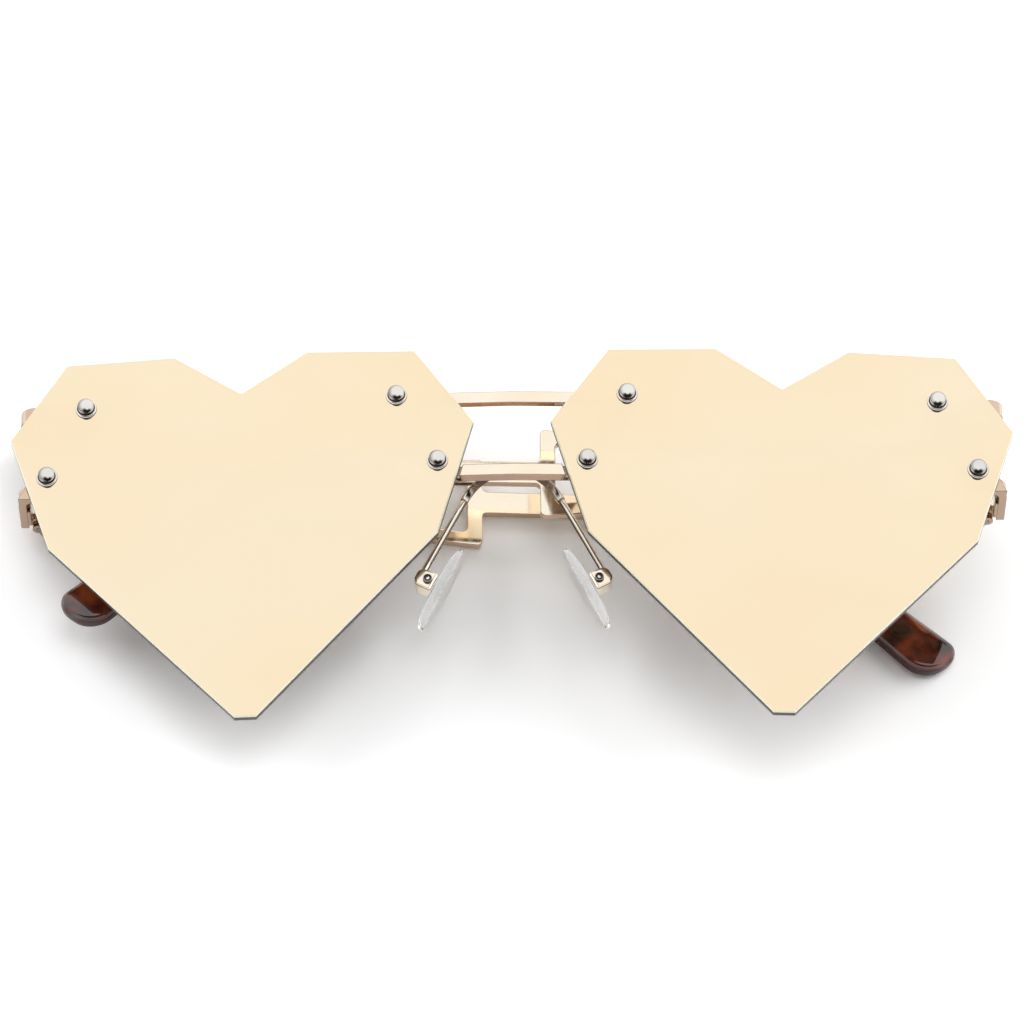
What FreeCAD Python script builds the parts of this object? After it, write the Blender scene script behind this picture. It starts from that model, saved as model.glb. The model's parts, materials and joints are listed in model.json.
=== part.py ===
import FreeCAD, Part
import math
import os

# Rimless sunglasses with cut heart lenses, lying face up on their folded outer temple.
# Millimetres and degrees. Shapes are drawn in the front's own frame: x runs to the wearer's left,
# y runs back from the lenses, z runs up the front. At the end everything is laid on the table.
# A side named left or right is the wearer's.

Vector = FreeCAD.Vector
ORIGIN = Vector(0, 0, 0)
BACK = Vector(0, 1, 0)
UP = Vector(0, 0, 1)

# Heart lens: half outline from its own axis, heights from the middle of its four fixings
lens_thickness = 1.4
lens_wrap = 2.0
heart_axis = 40.65
heart_turn = 1.2
heart_notch_height = 7.0
lobe_inner_half = 10.0
lobe_inner_height = 13.7
lobe_outer_half = 26.3
lobe_outer_height = 13.1
heart_half_width = 34.85
heart_widest_height = 0.55
shoulder_half = 29.1
shoulder_height = -18.0
point_half = 1.6
point_height = -47.3

# Lens fixings: cap screw, washer, bush in the lens, nut behind the strap
upper_fixing_inset = 11.45
upper_fixing_height = 5.4
lower_fixing_inset = 5.55
lower_fixing_height = -6.0
shank_radius = 0.6
bush_wall = 0.32
washer_radius = 1.6
washer_thickness = 0.35
cap_radius = 1.22
cap_side = 0.75
cap_dome = 0.45
cap_groove = 0.12
nut_corner_radius = 1.35
nut_height = 0.9

# Sheet metal behind the lenses
sheet = 1.2
brow_bar_height = 1.9
brow_bar_rise = 0.1
lower_bar_height = 1.85
lower_bar_drop = 1.35
lower_bar_raise = 0.7
lower_bar_lens_gap = 0.4
bridge_strap_width = 4.0
bridge_corner_round = 0.6
end_strap_width = 5.4
end_arm_height = 2.2
upper_arm_rise = 0.1
lower_arm_drop = 1.8
side_inset = 1.9
side_bend_radius = 1.2

# Temple hinges: two on each side, on one axis
hinge_depth = 13.3
hinge_offset = 2.2
barrel_radius = 1.15
middle_barrel = 1.0
outer_barrel = 0.75
leaf = 0.5
leaf_length = 5.5
hinge_screw_radius = 0.5
hinge_head_radius = 0.8
hinge_head_height = 0.4
screw_slot = 0.25
inner_temple_fold = 93.0
outer_temple_fold = 85.0

# Temple arm: a cut plate that runs from two prongs to one bar, with a thin core inside the tip
temple_sheet = 1.2
prong_height = 2.2
waist_half = 4.5
flare_half = 5.15
mouth_half = 6.35
block_start = 14.4
block_end = 24.9
flare_start = 54.0
merge_end = 67.2
merge_bar = 2.3
single_bar = 3.6
cut_round = 0.8
bar_ease = 3.0
tip_start = 95.0
bend_start = 99.5
bend_radius = 22.0
drop_angle = 41.0
drop_length = 31.2
core_height = 2.0
core_end_wall = 4.0

# Temple tip
tip_thickness = 3.2
tip_start_width = 4.9
tip_end_width = 7.6
tip_end_round_top = 2.2
tip_end_round_low = 5.0
tip_edge_round = 0.8

# Nose pads
pad_centre_side = 12.8
pad_centre_depth = 6.5
pad_centre_height = -23.0
pad_splay = 27.0
pad_length = 14.4
pad_width = 8.2
pad_thickness = 1.8
pad_edge_round = 0.65
pad_standoff = 1.35
insert_length = 8.4
insert_width = 4.4
insert_sheet = 0.5
boss_width = 2.0
boss_radius = 0.8
box_wall = 0.5
box_end_wall = 0.3
box_web = 0.9
box_mouth = 1.0
box_round = 1.0
pad_screw_radius = 0.4
pad_head_radius = 0.7
pad_head_height = 0.45
pad_arm_root_side = 3.2
pad_arm_knee_side = 6.2
pad_arm_knee_depth = 6.9
pad_arm_bend = 3.0
pad_arm_radius = 0.5
pad_arm_root_width = 1.15
pad_arm_root_thickness = 0.8

# Clearances
bore_clearance = 0.03
running_clearance = 0.05
swing_clearance = 0.2
boss_side_clearance = 0.1
boss_end_clearance = 0.25
butt_gap = 0.15
core_clearance = 0.02


def rounded_prism(corners, lift, push):
    """Solid pushed from a closed outline of (a, b, radius) corners, each rounded by its tangent arc."""
    pieces = []
    count = len(corners)
    for i, (a, b, radius) in enumerate(corners):
        here = Vector(a, b, 0)
        if radius == 0:
            pieces.append((here, None, here))
            continue
        previous = corners[i - 1]
        following = corners[(i + 1) % count]
        before = (Vector(previous[0], previous[1], 0) - here).normalize()
        after = (Vector(following[0], following[1], 0) - here).normalize()
        half = before.getAngle(after) / 2
        reach = radius / math.tan(half)
        inward = (before + after).normalize()
        middle = here + inward * (radius / math.sin(half) - radius)
        pieces.append((here + before * reach, middle, here + after * reach))
    edges = []
    for i, (start, middle, stop) in enumerate(pieces):
        if middle is not None:
            through = [lift(point.x, point.y) for point in (start, middle, stop)]
            edges.append(Part.Arc(*through).toShape())
        goal = pieces[(i + 1) % count][0]
        edges.append(Part.makeLine(lift(stop.x, stop.y), lift(goal.x, goal.y)))
    return Part.Face(Part.Wire(edges)).extrude(push)


def crossing(p, along, q, across):
    """Point where the line from p along one direction meets the line from q along another."""
    share = (across[1] * (q[0] - p[0]) - across[0] * (q[1] - p[1]))
    share /= along[0] * across[1] - along[1] * across[0]
    return (p[0] + share * along[0], p[1] + share * along[1])


def front_plate(corners, front, thickness):
    """Plate parallel to the lens, from depth front, with corners across and up."""
    return rounded_prism(corners, lambda a, b: Vector(a, front, b), BACK * thickness)


def rod(radius, start, length, axis):
    return Part.makeCylinder(radius, length, start, axis)


def block(low, high):
    """Box between two opposite corners."""
    size = high - low
    return Part.makeBox(size.x, size.y, size.z, low)


def wrapped(shape):
    """Turn a piece drawn flat on the left lens back with that lens."""
    turned = shape.copy()
    turned.rotate(ORIGIN, UP, lens_wrap)
    return turned


def other_side(shape):
    return shape.mirror(ORIGIN, Vector(1, 0, 0))


def on_lens(along, depth):
    """Front frame x and y of a point on the wrapped left lens."""
    turn = math.radians(lens_wrap)
    across = along * math.cos(turn) - depth * math.sin(turn)
    return (across, along * math.sin(turn) + depth * math.cos(turn))


def on_heart(half, height):
    """Place on the left lens of a point given from the heart's own axis."""
    turn = math.radians(heart_turn)
    across = heart_axis + half * math.cos(turn) + height * math.sin(turn)
    return (across, height * math.cos(turn) - half * math.sin(turn))


# Places that several pieces share
upper_half = heart_half_width - upper_fixing_inset
lower_half = heart_half_width - lower_fixing_inset
outer_upper_fixing = on_heart(upper_half, upper_fixing_height)
outer_lower_fixing = on_heart(lower_half, lower_fixing_height)
inner_upper_fixing = on_heart(-upper_half, upper_fixing_height)
inner_lower_fixing = on_heart(-lower_half, lower_fixing_height)
fixings = (outer_upper_fixing, outer_lower_fixing, inner_upper_fixing, inner_lower_fixing)

sheet_front = lens_thickness
sheet_back = lens_thickness + sheet
sheet_middle = lens_thickness + sheet / 2
upper_arm_height = outer_upper_fixing[1] + upper_arm_rise
lower_arm_height = outer_lower_fixing[1] - lower_arm_drop
hinge_pitch = upper_arm_height - lower_arm_height
temple_height = (upper_arm_height + lower_arm_height) / 2
side_middle = on_heart(heart_half_width, heart_widest_height)[0] - side_inset
hinge_side = side_middle - hinge_offset
lower_bar_height_middle = inner_lower_fixing[1] - lower_bar_drop
lower_bar_low = lower_bar_height_middle - lower_bar_height / 2
lower_bar_top = lower_bar_height_middle + lower_bar_height / 2
brow_bar_low = inner_upper_fixing[1] + brow_bar_rise - brow_bar_height / 2
brow_bar_top = brow_bar_low + brow_bar_height


def heart_corners():
    """Corners of the left lens, round the outline from the notch."""
    half = ((lobe_inner_half, lobe_inner_height), (lobe_outer_half, lobe_outer_height),
            (heart_half_width, heart_widest_height), (shoulder_half, shoulder_height),
            (point_half, point_height))
    outer = [on_heart(a, b) for a, b in half]
    inner = [on_heart(-a, b) for a, b in reversed(half)]
    return [on_heart(0, heart_notch_height)] + outer + inner


def lens():
    """Flat heart lens with a bored hole for each fixing's bush."""
    plate = front_plate([(a, b, 0) for a, b in heart_corners()], 0, lens_thickness)
    hole = shank_radius + bore_clearance + bush_wall + bore_clearance
    for a, b in fixings:
        plate = plate.cut(rod(hole, Vector(a, -lens_thickness, b), 3 * lens_thickness, BACK))
    return plate


def fixing_holes(plate, places):
    """Bore the sheet metal for the fixings' shanks."""
    for a, b in places:
        plate = plate.cut(rod(shank_radius + bore_clearance, Vector(a, 0, b), 2 * sheet_back, BACK))
    return plate


def cap_screw():
    """Domed cap with a turned groove, and the shank that runs through to the nut."""
    seat = -washer_thickness
    rim = seat - cap_side
    crown = rim - cap_dome
    groove_low = seat - cap_side / 3
    groove_high = seat - 2 * cap_side / 3
    neck = cap_radius - cap_groove
    profile = [(0, seat), (cap_radius, seat), (cap_radius, groove_low), (neck, groove_low),
               (neck, groove_high), (cap_radius, groove_high), (cap_radius, rim)]
    points = [Vector(a, b, 0) for a, b in profile]
    edges = [Part.makeLine(p, q) for p, q in zip(points, points[1:])]
    sphere = (cap_radius ** 2 + cap_dome ** 2) / (2 * cap_dome)
    half = math.asin(cap_radius / sphere) / 2
    between = Vector(sphere * math.sin(half), crown + sphere * (1 - math.cos(half)), 0)
    edges.append(Part.Arc(points[-1], between, Vector(0, crown, 0)).toShape())
    edges.append(Part.makeLine(Vector(0, crown, 0), points[0]))
    cap = Part.Face(Part.Wire(edges)).revolve(ORIGIN, BACK, 360)
    shank = rod(shank_radius, Vector(0, seat, 0), sheet_back + nut_height - seat, BACK)
    return cap.fuse(shank).removeSplitter()


def ring(outer, inner, start, length):
    """Plain ring about the fixing's axis."""
    seat = Vector(0, start, 0)
    return rod(outer, seat, length, BACK).cut(rod(inner, seat, length, BACK))


def hex_nut():
    """Six-sided nut on the back of the strap."""
    corners = []
    for i in range(6):
        turn = math.radians(60 * i)
        corners.append((nut_corner_radius * math.cos(turn), nut_corner_radius * math.sin(turn), 0))
    nut = front_plate(corners, sheet_back, nut_height)
    return nut.cut(rod(shank_radius + bore_clearance, ORIGIN, 2 * sheet_back + nut_height, BACK))


def at_fixings(piece):
    """Eight copies of a fixing piece, at the four fixings of each lens."""
    left = [wrapped(piece.translated(Vector(a, 0, b))) for a, b in fixings]
    return Part.makeCompound(left + [other_side(one) for one in left])


def slanted_band(upper, lower, width, top, low):
    """Corners of a strap about the line through two fixings, cut level at its top and bottom."""
    along = (lower[0] - upper[0], lower[1] - upper[1])
    sideways = width / 2 * math.hypot(*along) / abs(along[1])
    at_top = crossing(upper, along, (0, top), (1, 0))
    at_low = crossing(upper, along, (0, low), (1, 0))
    return [(at_top[0] - sideways, top), (at_top[0] + sideways, top), (at_low[0] + sideways, low),
            (at_low[0] - sideways, low)]


def bridge():
    """Closed loop of brow bar, lower bar and the two straps behind the lenses, with a raised lower bar."""
    strap = slanted_band(inner_upper_fixing, inner_lower_fixing, bridge_strap_width, brow_bar_top,
                         lower_bar_low)
    past = -sheet_back
    whole = [(past, brow_bar_top, 0), strap[1] + (0,), strap[2] + (0,), (past, lower_bar_low, 0)]
    half = front_plate(whole, sheet_front, sheet)
    inner_edge = (strap[3][0] - strap[0][0], strap[3][1] - strap[0][1])
    high = crossing(strap[0], inner_edge, (0, brow_bar_low), (1, 0))
    low = crossing(strap[0], inner_edge, (0, lower_bar_top), (1, 0))
    window = [(past, brow_bar_low, 0), high + (bridge_corner_round,), low + (bridge_corner_round,),
              (past, lower_bar_top, 0)]
    half = half.cut(front_plate(window, 0, 2 * sheet_back))
    widest = on_heart(-heart_half_width, heart_widest_height)
    shoulder = on_heart(-shoulder_half, shoulder_height)
    edge = (shoulder[0] - widest[0], shoulder[1] - widest[1])
    start = (widest[0] - lower_bar_lens_gap, widest[1])
    top_end = crossing(start, edge, (0, lower_bar_top), (1, 0))
    low_end = crossing(start, edge, (0, lower_bar_low), (1, 0))
    raised = [(past, lower_bar_top, 0), top_end + (0,), low_end + (0,), (past, lower_bar_low, 0)]
    half = half.fuse(front_plate(raised, sheet_front - lower_bar_raise, lower_bar_raise + sheet / 2))
    half = wrapped(fixing_holes(half, (inner_upper_fixing, inner_lower_fixing)))
    reach = inner_upper_fixing[0] + bridge_strap_width * 2
    tall = brow_bar_top - lower_bar_low
    keep = block(Vector(0, -reach, lower_bar_low - tall), Vector(reach, reach, brow_bar_top + tall))
    half = half.common(keep)
    return half.fuse(other_side(half)).removeSplitter()


def end_arm(height, start_along):
    """Arm that leaves the strap behind the lens and bends back along the side to its hinge."""
    outer_side = side_middle + sheet / 2
    inner_side = side_middle - sheet / 2
    turn = math.radians(lens_wrap)
    level = (math.cos(turn), math.sin(turn))
    front_corner = crossing(on_lens(0, sheet_front), level, (outer_side, 0), (0, 1))
    back_corner = crossing(on_lens(0, sheet_back), level, (inner_side, 0), (0, 1))
    end = hinge_depth - butt_gap
    corners = [on_lens(start_along, sheet_front) + (0,), front_corner + (side_bend_radius + sheet,),
               (outer_side, end, 0), (inner_side, end, 0), back_corner + (side_bend_radius,),
               on_lens(start_along, sheet_back) + (0,)]
    low = height - end_arm_height / 2
    return rounded_prism(corners, lambda a, b: Vector(a, b, low), UP * end_arm_height)


def endpiece():
    """Strap behind the lens with an upper and a lower arm to the two hinges of one side."""
    top = upper_arm_height + end_arm_height / 2
    low = lower_arm_height - end_arm_height / 2
    band = slanted_band(outer_upper_fixing, outer_lower_fixing, end_strap_width, top, low)
    strap = front_plate([corner + (0,) for corner in band], sheet_front, sheet)
    metal = wrapped(strap)
    metal = metal.fuse(end_arm(upper_arm_height, outer_upper_fixing[0]))
    metal = metal.fuse(end_arm(lower_arm_height, outer_lower_fixing[0]))
    for a, b in (outer_upper_fixing, outer_lower_fixing):
        hole = rod(shank_radius + bore_clearance, Vector(a, 0, b), 2 * sheet_back, BACK)
        metal = metal.cut(wrapped(hole))
    return metal.removeSplitter()


# Hinge pieces are drawn about the hinge axis with the temple open, so the temple runs along y
inner_face = hinge_offset - temple_sheet / 2
middle_half = middle_barrel / 2
outer_start = middle_half + running_clearance
outer_end = outer_start + outer_barrel
leaf_start = barrel_radius + swing_clearance


def hinge_leaf(facing, low, high, start):
    """Leaf against the inner face of the side: on the endpiece (facing -1) or the temple (facing 1)."""
    ends = sorted((facing * start, facing * leaf_length))
    return block(Vector(inner_face - leaf, ends[0], low), Vector(inner_face, ends[1], high))


def barrel(low, high, facing):
    """Barrel about the axis with the lug that carries it from its leaf."""
    ends = sorted((0, facing * (leaf_start + leaf)))
    lug = block(Vector(0, ends[0], low), Vector(inner_face, ends[1], high))
    return rod(barrel_radius, Vector(0, 0, low), high - low, UP).fuse(lug)


def endpiece_knuckle(height):
    """Middle barrel of one hinge, on its leaf."""
    knuckle = barrel(-middle_half, middle_half, -1)
    knuckle = knuckle.fuse(hinge_leaf(-1, -outer_end, outer_end, leaf_start))
    bore = hinge_screw_radius + core_clearance
    knuckle = knuckle.cut(rod(bore, Vector(0, 0, -outer_end), 2 * outer_end, UP))
    return knuckle.removeSplitter().translated(UP * height)


def temple_knuckle(height):
    """The two outer barrels of one hinge, on their leaf."""
    knuckle = hinge_leaf(1, -outer_end, outer_end, leaf_start)
    for low in (outer_start, -outer_end):
        knuckle = knuckle.fuse(barrel(low, low + outer_barrel, 1))
    bore = hinge_screw_radius + running_clearance
    knuckle = knuckle.cut(rod(bore, Vector(0, 0, -2 * outer_end), 4 * outer_end, UP))
    return knuckle.removeSplitter().translated(UP * height)


def hinge_screw(height):
    """Slotted screw down the axis of one hinge."""
    seat = outer_end + running_clearance
    top = seat + hinge_head_height
    screw = rod(hinge_screw_radius, Vector(0, 0, -outer_end), outer_end + top, UP)
    screw = screw.fuse(rod(hinge_head_radius, Vector(0, 0, seat), hinge_head_height, UP))
    slot = block(Vector(-hinge_head_radius, -screw_slot / 2, top - hinge_head_height / 2),
                 Vector(hinge_head_radius, screw_slot / 2, top + hinge_head_height))
    return screw.cut(slot).removeSplitter().translated(UP * height)


def on_both_hinges(piece):
    """The upper and the lower hinge's copy of a piece."""
    return Part.makeCompound([piece(upper_arm_height), piece(lower_arm_height)])


def drop_line():
    """Direction of the dropped end, its upward normal, and where its middle line starts and ends."""
    turn = math.radians(drop_angle)
    along = (math.cos(turn), -math.sin(turn))
    normal = (math.sin(turn), math.cos(turn))
    start = (bend_start + bend_radius * math.sin(turn), -bend_radius * (1 - math.cos(turn)))
    end = (start[0] + drop_length * along[0], start[1] + drop_length * along[1])
    return along, normal, start, end


def drop_edge(start_half, end_half):
    """Bend corner and end corner of one edge of the dropped end, at signed half widths from its middle."""
    along, normal, start, end = drop_line()
    near = (start[0] + start_half * normal[0], start[1] + start_half * normal[1])
    far = (end[0] + end_half * normal[0], end[1] + end_half * normal[1])
    corner = crossing((0, start_half), (1, 0), near, (far[0] - near[0], far[1] - near[1]))
    return corner, far


def core_edge(grow):
    """Corners of the core's outline inside the tip, from its upper start round to its lower start."""
    half = core_height / 2 + grow
    along = drop_line()[0]
    short = core_end_wall - grow
    upper_bend, upper_end = drop_edge(half, half)
    lower_bend, lower_end = drop_edge(-half, -half)
    return [upper_bend + (bend_radius + half,),
            (upper_end[0] - short * along[0], upper_end[1] - short * along[1], 0),
            (lower_end[0] - short * along[0], lower_end[1] - short * along[1], 0),
            lower_bend + (bend_radius - half,)]


def temple_plate(corners, thickness):
    """Plate in the temple's plane: corners along the temple and up from its middle height."""
    side = hinge_offset - thickness / 2
    push = Vector(thickness, 0, 0)
    return rounded_prism(corners, lambda a, b: Vector(side, a, temple_height + b), push)


def temple_arm():
    """Cut plate: two prongs, a solid block, an open window, a merge bar, one bar and the tip's core."""
    prong = hinge_pitch / 2
    half = prong_height / 2
    bar = single_bar / 2
    core = core_height / 2
    upper = [(butt_gap, prong - half, cut_round / 2), (butt_gap, prong + half, cut_round / 2),
             (block_start, waist_half + half, bar_ease), (block_end, waist_half + half, bar_ease),
             (flare_start, flare_half + half, bar_ease), (merge_end, mouth_half + half, cut_round),
             (merge_end, bar, cut_round), (tip_start, bar, 0), (tip_start, core, 0)]
    lower = [(a, -b, radius) for a, b, radius in reversed(upper)]
    root = [(block_start, half - waist_half, cut_round), (block_start, waist_half - half, cut_round)]
    plate = temple_plate(upper + core_edge(0) + lower + root, temple_sheet)
    merge_start = merge_end - merge_bar
    top = [(block_end, waist_half - half, cut_round), (flare_start, flare_half - half, bar_ease),
           (merge_start, mouth_half - half, cut_round)]
    window = top + [(a, -b, radius) for a, b, radius in reversed(top)]
    return plate.cut(temple_plate(window, 2 * temple_sheet))


def temple_tip():
    """Moulded tip over the core, widening towards its rounded end."""
    upper_bend, upper_end = drop_edge(tip_start_width / 2, tip_end_width / 2)
    lower_bend, lower_end = drop_edge(-tip_start_width / 2, -tip_end_width / 2)
    outline = [(tip_start, tip_start_width / 2, 0), upper_bend + (bend_radius + tip_start_width / 2,),
               upper_end + (tip_end_round_top,), lower_end + (tip_end_round_low,),
               lower_bend + (bend_radius - tip_start_width / 2,), (tip_start, -tip_start_width / 2, 0)]
    tip = temple_plate(outline, tip_thickness)
    soft = min(tip_edge_round, 0.4 * tip_thickness)
    rims = []
    for edge in tip.Edges:
        level = edge.BoundBox.XLength < soft
        if level and edge.BoundBox.YMax > tip_start + core_clearance:
            rims.append(edge)
    tip = tip.makeFillet(soft, rims)
    pocket = [(tip_start - core_height, core_height / 2 + core_clearance, 0)] + core_edge(core_clearance)
    pocket.append((tip_start - core_height, -core_height / 2 - core_clearance, 0))
    return tip.cut(temple_plate(pocket, temple_sheet + 2 * core_clearance))


def folded(shape, fold):
    """Swing a piece of the left temple from open to its folded place."""
    swung = shape.copy()
    swung.rotate(ORIGIN, UP, fold)
    return swung.translated(Vector(hinge_side, hinge_depth, 0))


def at_hinge(shape):
    return shape.translated(Vector(hinge_side, hinge_depth, 0))


# Nose pad pieces are drawn about the pad screw: x down the pad, y back along it, z away from the nose
box_inside = boss_width / 2 + boss_side_clearance
box_outside = box_inside + box_wall
cup_half = boss_radius + boss_end_clearance
box_half = cup_half + box_end_wall
web_start = boss_radius + swing_clearance
web_end = web_start + box_web


def pad_placed(shape):
    """Move a pad piece to the left side of the nose."""
    placed = shape.copy()
    placed.rotate(ORIGIN, BACK, 90 - pad_splay)
    return placed.translated(Vector(pad_centre_side, pad_centre_depth, pad_centre_height))


def pad_box_block():
    """Clasp without its cup: a block with its two edges away from the nose rounded."""
    corners = [(-box_half, -box_mouth, 0), (box_half, -box_mouth, 0), (box_half, web_end, box_round),
               (-box_half, web_end, box_round)]
    return rounded_prism(corners, lambda a, b: Vector(a, -box_outside, b), BACK * 2 * box_outside)


def pad_box():
    """Clasp: a cup open towards the nose, bored for its screw."""
    cup = block(Vector(-cup_half, -box_inside, -2 * box_mouth), Vector(cup_half, box_inside, web_start))
    bore = rod(pad_screw_radius + core_clearance, Vector(0, -2 * box_outside, 0), 4 * box_outside, BACK)
    return pad_placed(pad_box_block().cut(cup).cut(bore))


def pad_screw():
    """Slotted screw through the clasp and the pad's boss."""
    top = -box_outside - pad_head_height
    screw = rod(pad_screw_radius, Vector(0, top, 0), 2 * box_outside + pad_head_height, BACK)
    screw = screw.fuse(rod(pad_head_radius, Vector(0, top, 0), pad_head_height, BACK))
    slot = block(Vector(-pad_head_radius, top - pad_head_height, -screw_slot / 2),
                 Vector(pad_head_radius, top + pad_head_height / 2, screw_slot / 2))
    return pad_placed(screw.cut(slot).removeSplitter())


def oval(length, width, low, high):
    """Oval plate between two levels."""
    rim = Part.Ellipse(Vector(0, 0, low), length / 2, width / 2).toShape()
    return Part.Face(Part.Wire([rim])).extrude(UP * (high - low))


pad_back = -pad_standoff
pad_front = -pad_standoff - pad_thickness
insert_back = (pad_back + pad_front) / 2 + insert_sheet / 2


def insert_shape(grow):
    """Insert plate and boss without the bore, grown all round by a clearance."""
    low = insert_back - insert_sheet - grow
    plate = oval(insert_length + 2 * grow, insert_width + 2 * grow, low, insert_back + grow)
    reach = boss_radius + grow
    side = boss_width / 2 + grow
    neck = block(Vector(-reach, -side, insert_back - insert_sheet / 2), Vector(reach, side, 0))
    return plate.fuse(neck).fuse(rod(reach, Vector(0, -side, 0), 2 * side, BACK))


def pad_insert():
    """Thin core plate inside the pad, with the boss that turns on the pad screw."""
    bore = rod(pad_screw_radius + running_clearance, Vector(0, -boss_width, 0), 2 * boss_width, BACK)
    return pad_placed(insert_shape(0).cut(bore).removeSplitter())


def nose_pad():
    """Soft oval pad moulded round its insert."""
    soft = min(pad_edge_round, 0.4 * pad_thickness)
    pad = oval(pad_length, pad_width, pad_front, pad_back)
    rims = [edge for edge in pad.Edges if edge.BoundBox.ZLength < soft]
    pad = pad.makeFillet(soft, rims)
    return pad_placed(pad.cut(insert_shape(core_clearance)))


def swept(edges, profile):
    """Solid made by carrying a closed profile along joined lines and arcs."""
    shell = Part.BRepOffsetAPI.MakePipeShell(Part.Wire(edges))
    shell.add(profile)
    shell.build()
    shell.makeSolid()
    return Part.Solid(shell.shape())


def pad_arm(metal):
    """Wire from the back of the lower bar to the clasp: out behind the bar, bent down, flat at its root."""
    root_side, root_depth = on_lens(pad_arm_root_side, sheet_middle)
    root = Vector(root_side, root_depth, lower_bar_height_middle)
    knee = Vector(pad_arm_knee_side, pad_arm_knee_depth, lower_bar_height_middle)
    web = pad_placed(Part.Vertex(Vector(-box_half, 0, (web_start + web_end) / 2))).Point
    goal = web + (web - knee).normalize() * 2 * pad_arm_radius
    before = (root - knee).normalize()
    after = (goal - knee).normalize()
    half = before.getAngle(after) / 2
    reach = pad_arm_bend / math.tan(half)
    inward = (before + after).normalize()
    start = knee + before * reach
    stop = knee + after * reach
    middle = knee + inward * (pad_arm_bend / math.sin(half) - pad_arm_bend)
    bend = Part.Arc(start, middle, stop).toShape()
    wide = before.cross(after).normalize() * (pad_arm_root_width / 2)
    thick = before.cross(wide).normalize() * (pad_arm_root_thickness / 2)
    corners = [root + wide + thick, root - wide + thick, root - wide - thick, root + wide - thick]
    blade = swept([Part.makeLine(root, start), bend], Part.makePolygon(corners + corners[:1]))
    wire = rod(pad_arm_radius, stop - after * pad_arm_radius, (goal - stop).Length + pad_arm_radius, after)
    wire = wire.cut(pad_placed(pad_box_block()))
    return blade.cut(metal).fuse(wire).removeSplitter()


def make_nodes():
    """Every node of the glasses in the front's frame."""
    bush_bore = shank_radius + bore_clearance
    metal = bridge()
    nodes = {
        "lens_left": wrapped(lens()),
        "bridge": metal,
        "lens_cap_screws": at_fixings(cap_screw()),
        "lens_washers": at_fixings(ring(washer_radius, bush_bore, -washer_thickness, washer_thickness)),
        "lens_bushes": at_fixings(ring(bush_bore + bush_wall, bush_bore, 0, lens_thickness)),
        "lens_nuts": at_fixings(hex_nut()),
        "endpiece_left": endpiece(),
        "endpiece_knuckles_left": at_hinge(on_both_hinges(endpiece_knuckle)),
        "hinge_screws_left": at_hinge(on_both_hinges(hinge_screw)),
        "pad_arm_left": pad_arm(metal),
        "pad_box_left": pad_box(),
        "pad_screw_left": pad_screw(),
        "pad_insert_left": pad_insert(),
        "nose_pad_left": nose_pad(),
    }
    for name in list(nodes):
        if name.endswith("_left"):
            nodes[name.replace("_left", "_right")] = other_side(nodes[name])
    temple = {"temple_arm": temple_arm(), "temple_tip": temple_tip(),
              "temple_knuckles": on_both_hinges(temple_knuckle)}
    for name, shape in temple.items():
        nodes[name + "_left"] = folded(shape, inner_temple_fold)
        nodes[name + "_right"] = other_side(folded(shape, outer_temple_fold))
    return nodes


def table_placement(nodes):
    """Lay the glasses face up on the outer temple, with the table under the middle of their box."""
    proud = (tip_thickness - temple_sheet) / 2
    lean = 90 - outer_temple_fold + math.degrees(math.atan2(proud, tip_start))
    face_up = FreeCAD.Rotation(Vector(1, 0, 0), -90)
    level = FreeCAD.Rotation(Vector(0, 1, 0), -lean)
    turned = FreeCAD.Placement(ORIGIN, level.multiply(face_up))
    whole = Part.makeCompound(list(nodes.values()))
    whole.Placement = turned
    box = whole.optimalBoundingBox(False, False)
    return FreeCAD.Placement(Vector(-box.Center.x, -box.Center.y, -box.ZMin), turned.Rotation)


def report_places(placement):
    """Print the joint axes and other places that a user of the part needs."""
    places = {
        "hinge_left": Vector(hinge_side, hinge_depth, temple_height),
        "hinge_right": Vector(-hinge_side, hinge_depth, temple_height),
        "pad_left": Vector(pad_centre_side, pad_centre_depth, pad_centre_height),
        "pad_right": Vector(-pad_centre_side, pad_centre_depth, pad_centre_height),
        "front_origin": ORIGIN,
    }
    for name, place in places.items():
        point = placement.multVec(place)
        print(f"{name} at {point.x:.4f} {point.y:.4f} {point.z:.4f}")
    for name, direction in {"across": Vector(1, 0, 0), "back": BACK, "up": UP}.items():
        way = placement.Rotation.multVec(direction)
        print(f"{name} along {way.x:.6f} {way.y:.6f} {way.z:.6f}")


def main():
    os.makedirs("parts", exist_ok=True)
    nodes = make_nodes()
    placement = table_placement(nodes)
    for name, shape in sorted(nodes.items()):
        shape.Placement = placement.multiply(shape.Placement)
        shape.exportStep(os.path.join("parts", name + ".step"))
        print(f"{name}: {len(shape.Solids)} solids, {shape.Volume:.2f} mm3, valid {shape.isValid()}")
    report_places(placement)


main()
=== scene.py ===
import json
import logging
import math
from dataclasses import dataclass
from enum import Enum, IntEnum

import bmesh
import bpy
import numpy as np
from mathutils import Matrix, Vector


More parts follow.
